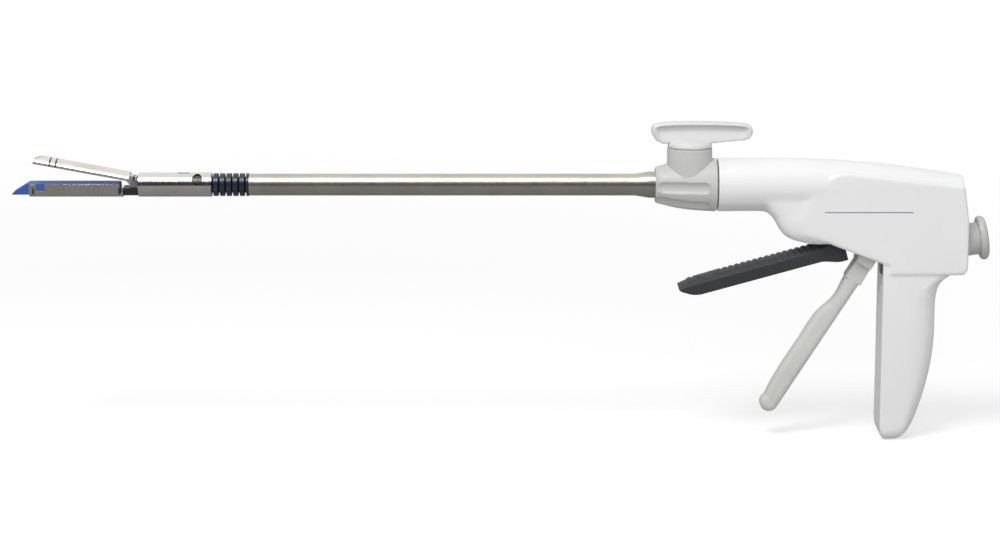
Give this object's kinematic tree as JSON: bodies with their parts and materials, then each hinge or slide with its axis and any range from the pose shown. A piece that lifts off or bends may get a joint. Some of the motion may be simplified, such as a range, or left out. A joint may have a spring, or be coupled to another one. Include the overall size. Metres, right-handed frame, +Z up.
{
  "type": "articulating endoscopic linear cutter",
  "caption": "Hand-held keyhole-surgery stapler: pistol handle with two triggers, rotating shaft, bending neck and opening jaws with a blue staple cartridge.",
  "frame": {"origin": "on the shaft's axis, at the middle of the closure sleeve, the widest part that passes the port", "axes": "+X runs along the shaft from the jaws to the handle, +Z is up towards the articulation lever, +Y is the instrument's right side"},
  "size_m": [0.5101, 0.0284, 0.1675],
  "materials": {
    "white_shell": "fine spark texture",
    "grey_knob": "fine spark texture",
    "grey_lever": "fine spark texture",
    "grey_trigger": "fine spark texture",
    "charcoal_trigger": "satin",
    "dark_neck": "blackened, satin",
    "cartridge_blue": "satin",
    "inner_plastic": "plain",
    "steel": "ground",
    "jaw_steel": "polished",
    "tube_steel": "bead blasted"
  },
  "bodies": {
    "handle": {"housing_left": "white_shell", "housing_right": "white_shell", "housing_screws": "steel", "gear_axle": "steel", "trigger_pivot_pin": "steel"},
    "knob": {"rotation_knob": "grey_knob", "shaft_tube": "tube_steel", "neck_ferrule": "dark_neck"},
    "lever": {"articulation_lever": "grey_lever", "articulation_drum": "steel"},
    "band_right": {"articulation_band_right": "steel"},
    "band_left": {"articulation_band_left": "steel"},
    "rib_5": {"neck_rib_5": "dark_neck"},
    "rib_4": {"neck_rib_4": "dark_neck"},
    "rib_3": {"neck_rib_3": "dark_neck"},
    "rib_2": {"neck_rib_2": "dark_neck"},
    "rib_1": {"neck_rib_1": "dark_neck"},
    "end_effector": {"channel_retainer": "steel", "cartridge_channel": "jaw_steel", "staple_cartridge": "cartridge_blue", "anvil_pivot_pin": "jaw_steel"},
    "sleeve": {"closure_sleeve": "jaw_steel"},
    "anvil": {"anvil": "jaw_steel"},
    "knife": {"knife": "steel"},
    "closure": {"closure_tube": "steel", "closure_yoke": "inner_plastic"},
    "closing": {"closing_trigger": "grey_trigger"},
    "link": {"closure_link": "steel"},
    "firing": {"firing_trigger": "charcoal_trigger", "sector_gear": "steel"},
    "gear": {"drive_gear": "steel"},
    "rack": {"firing_rack": "steel", "firing_rod": "steel"},
    "button": {"release_button": "grey_lever"}
  },
  "joints": [
    {"name": "shaft_rotation", "type": "hinge", "parent": "handle", "child": "knob", "pos_m": [0.25, 0, 0], "axis": [1, 0, 0], "continuous": true},
    {"name": "articulation_lever_turn", "type": "hinge", "parent": "knob", "child": "lever", "pos_m": [0.2679, 0, 0], "axis": [0, 0, 1], "range_deg": [-45, 45]},
    {"name": "band_right_slide", "type": "slide", "parent": "knob", "child": "band_right", "axis": [1, 0, 0], "range_m": [-0.0036, 0.0036]},
    {"name": "band_left_slide", "type": "slide", "parent": "knob", "child": "band_left", "axis": [1, 0, 0], "range_m": [-0.0036, 0.0036]},
    {"name": "neck_bend_6", "type": "hinge", "parent": "knob", "child": "rib_5", "pos_m": [0.0366, 0, 0], "axis": [0, 0, 1], "range_deg": [-7.6, 7.6]},
    {"name": "neck_bend_5", "type": "hinge", "parent": "rib_5", "child": "rib_4", "pos_m": [0.03318, 0, 0], "axis": [0, 0, 1], "range_deg": [-7.6, 7.6]},
    {"name": "neck_bend_4", "type": "hinge", "parent": "rib_4", "child": "rib_3", "pos_m": [0.02976, 0, 0], "axis": [0, 0, 1], "range_deg": [-7.6, 7.6]},
    {"name": "neck_bend_3", "type": "hinge", "parent": "rib_3", "child": "rib_2", "pos_m": [0.02634, 0, 0], "axis": [0, 0, 1], "range_deg": [-7.6, 7.6]},
    {"name": "neck_bend_2", "type": "hinge", "parent": "rib_2", "child": "rib_1", "pos_m": [0.02292, 0, 0], "axis": [0, 0, 1], "range_deg": [-7.6, 7.6]},
    {"name": "neck_bend_1", "type": "hinge", "parent": "rib_1", "child": "end_effector", "pos_m": [0.0195, 0, 0], "axis": [0, 0, 1], "range_deg": [-7.6, 7.6]},
    {"name": "sleeve_slide", "type": "slide", "parent": "end_effector", "child": "sleeve", "axis": [-1, 0, 0], "range_m": [0, 0.004]},
    {"name": "anvil_swing", "type": "hinge", "parent": "end_effector", "child": "anvil", "pos_m": [-0.0212, 0, 0.001], "axis": [0, -1, 0], "range_deg": [0, 10.6]},
    {"name": "knife_slide", "type": "slide", "parent": "end_effector", "child": "knife", "axis": [-1, 0, 0], "range_m": [0, 0.0365]},
    {"name": "closure_slide", "type": "slide", "parent": "handle", "child": "closure", "axis": [-1, 0, 0], "range_m": [0, 0.004]},
    {"name": "closing_pull", "type": "hinge", "parent": "handle", "child": "closing", "pos_m": [0.366, 0, -0.0285], "axis": [0, -1, 0], "range_deg": [0, 24], "stiffness_Nm_per_rad": 0.25, "springref_deg": -20.05},
    {"name": "link_swing", "type": "hinge", "parent": "closing", "child": "link", "pos_m": [0.366, 0, -0.0185], "axis": [0, -1, 0], "range_deg": [-25.2, 0]},
    {"name": "firing_pull", "type": "hinge", "parent": "closing", "child": "firing", "pos_m": [0.366, 0, -0.0285], "axis": [0, -1, 0], "range_deg": [0, 35], "stiffness_Nm_per_rad": 0.2, "springref_deg": -28.65},
    {"name": "drive_gear_spin", "type": "hinge", "parent": "handle", "child": "gear", "pos_m": [0.366, 0, -0.001], "axis": [0, -1, 0], "range_deg": [-316, 0]},
    {"name": "rack_slide", "type": "slide", "parent": "handle", "child": "rack", "axis": [-1, 0, 0], "range_m": [0, 0.0353]},
    {"name": "release_button_press", "type": "slide", "parent": "handle", "child": "button", "axis": [-0.9903, 0, -0.1392], "range_m": [0, 0.0025], "stiffness_N_per_m": 800, "springref_m": -0.002}
  ],
  "couplings": [
    {"joint": "neck_bend_6", "follows": "articulation_lever_turn", "ratio": 0.16667},
    {"joint": "neck_bend_5", "follows": "articulation_lever_turn", "ratio": 0.16667},
    {"joint": "neck_bend_4", "follows": "articulation_lever_turn", "ratio": 0.16667},
    {"joint": "neck_bend_3", "follows": "articulation_lever_turn", "ratio": 0.16667},
    {"joint": "neck_bend_2", "follows": "articulation_lever_turn", "ratio": 0.16667},
    {"joint": "neck_bend_1", "follows": "articulation_lever_turn", "ratio": 0.16667},
    {"joint": "band_right_slide", "follows": "articulation_lever_turn", "m_per_rad": -0.00435},
    {"joint": "band_left_slide", "follows": "articulation_lever_turn", "m_per_rad": 0.00435},
    {"joint": "sleeve_slide", "follows": "closing_pull", "m_per_rad": 0.009191},
    {"joint": "closure_slide", "follows": "closing_pull", "m_per_rad": 0.009191},
    {"joint": "anvil_swing", "follows": "closing_pull", "ratio": 0.4375},
    {"joint": "link_swing", "follows": "closing_pull", "ratio": -1.033},
    {"joint": "drive_gear_spin", "follows": "firing_pull", "ratio": -9},
    {"joint": "rack_slide", "follows": "firing_pull", "m_per_rad": 0.0576},
    {"joint": "knife_slide", "follows": "firing_pull", "m_per_rad": 0.058933}
  ]
}
